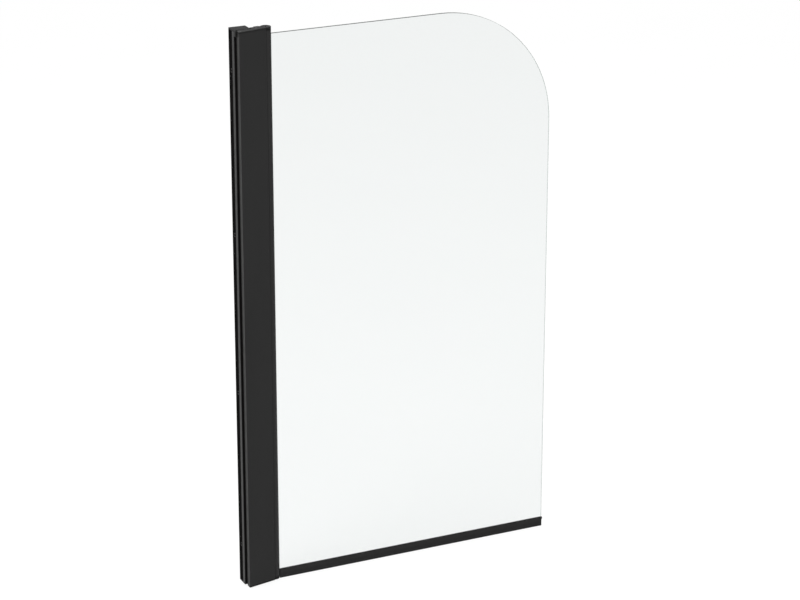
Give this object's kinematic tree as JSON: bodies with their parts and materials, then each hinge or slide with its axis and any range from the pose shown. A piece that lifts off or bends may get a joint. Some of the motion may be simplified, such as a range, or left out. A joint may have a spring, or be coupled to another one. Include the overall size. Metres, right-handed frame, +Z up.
{
  "type": "pivoting bath screen",
  "caption": "Pivoting bath screen: a clear glass pane with a large rounded top corner in a matt black wall profile and hinge post, with a seal rail along its foot.",
  "frame": {"origin": "on the wall plane, in the mid-plane of the glass, level with the foot of the profile", "axes": "+X from the wall along the glass, +Y towards the inner side of the bath, +Z up"},
  "size_m": [0.826, 0.0568, 1.4024],
  "materials": {
    "black_frame": "fine matt black powder coat on an extrusion",
    "black_moulding": "matt moulded",
    "seal_rubber": "soft matt",
    "bush_nylon": "natural nylon",
    "fixing_steel": "plain stainless",
    "clear_glass": "clear toughened, polished edge",
    "blackened_steel": "blackened"
  },
  "bodies": {
    "wall_channel": {"wall_profile": "black_frame", "wall_seal": "seal_rubber", "slide_gasket": "seal_rubber", "screw_cover": "black_moulding", "access_plugs": "black_moulding", "wall_cap_top": "black_moulding", "wall_cap_bottom": "black_moulding"},
    "post": {"hinge_post": "black_frame", "post_cap_top": "black_moulding", "post_cap_bottom": "black_moulding", "cap_screws_top": "blackened_steel", "cap_screws_bottom": "blackened_steel", "pivot_pin_top": "blackened_steel", "pivot_pin_bottom": "blackened_steel", "pivot_seal_front": "seal_rubber", "pivot_seal_back": "seal_rubber", "lock_screws": "fixing_steel", "lock_washers": "fixing_steel", "lock_nuts": "fixing_steel"},
    "screen": {"pivot_barrel": "black_frame", "barrel_plug_top": "black_moulding", "barrel_plug_bottom": "black_moulding", "plug_screw_top": "fixing_steel", "plug_screw_bottom": "fixing_steel", "pivot_bush_top": "bush_nylon", "pivot_bush_bottom": "bush_nylon", "glass_panel": "clear_glass", "glazing_gasket": "seal_rubber", "bottom_rail": "black_frame", "bottom_seal": "seal_rubber", "rail_end_cap": "black_moulding"}
  },
  "joints": [
    {"name": "wall_adjust", "type": "slide", "parent": "wall_channel", "child": "post", "axis": [1, 0, 0], "range_m": [0, 0.018]},
    {"name": "screen_hinge", "type": "hinge", "parent": "post", "child": "screen", "pos_m": [0.0809, 0, 0], "axis": [0, 0, 1], "range_deg": [-90, 90]}
  ]
}
